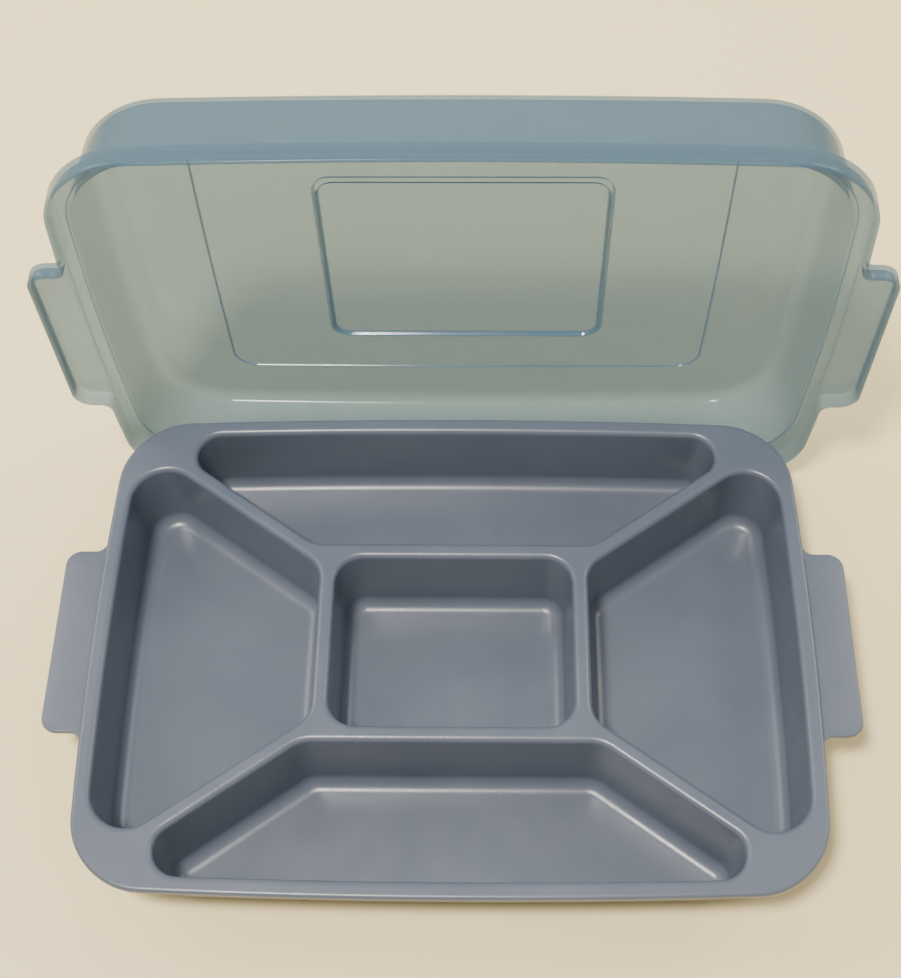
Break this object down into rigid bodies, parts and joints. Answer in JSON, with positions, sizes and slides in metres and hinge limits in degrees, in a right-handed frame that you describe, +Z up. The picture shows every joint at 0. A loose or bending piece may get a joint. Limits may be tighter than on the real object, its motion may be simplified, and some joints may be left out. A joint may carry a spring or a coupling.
{
  "type": "chip and dip server",
  "caption": "Rectangular serving tray with a middle dip pocket, snack pockets around it and handle tabs, and its deep translucent lift-off lid standing behind it.",
  "frame": {"origin": "middle of the tray's underside, on the table", "axes": "+X along the tray's length, +Y to the back where the lid stands, +Z up"},
  "size_m": [0.4631, 0.3413, 0.3069],
  "materials": {
    "tray_plastic": "satin slate blue, opaque, very slightly pebbled",
    "lid_plastic": "translucent milky aqua, smooth"
  },
  "bodies": {
    "tray": {"tray": "tray_plastic"},
    "lid": {"lid": "lid_plastic"}
  },
  "joints": [
    {"name": "lid_lift", "type": "slide", "parent": "tray", "child": "lid", "axis": [0, 0.9397, 0.342], "range_m": [0, 0.2]}
  ]
}
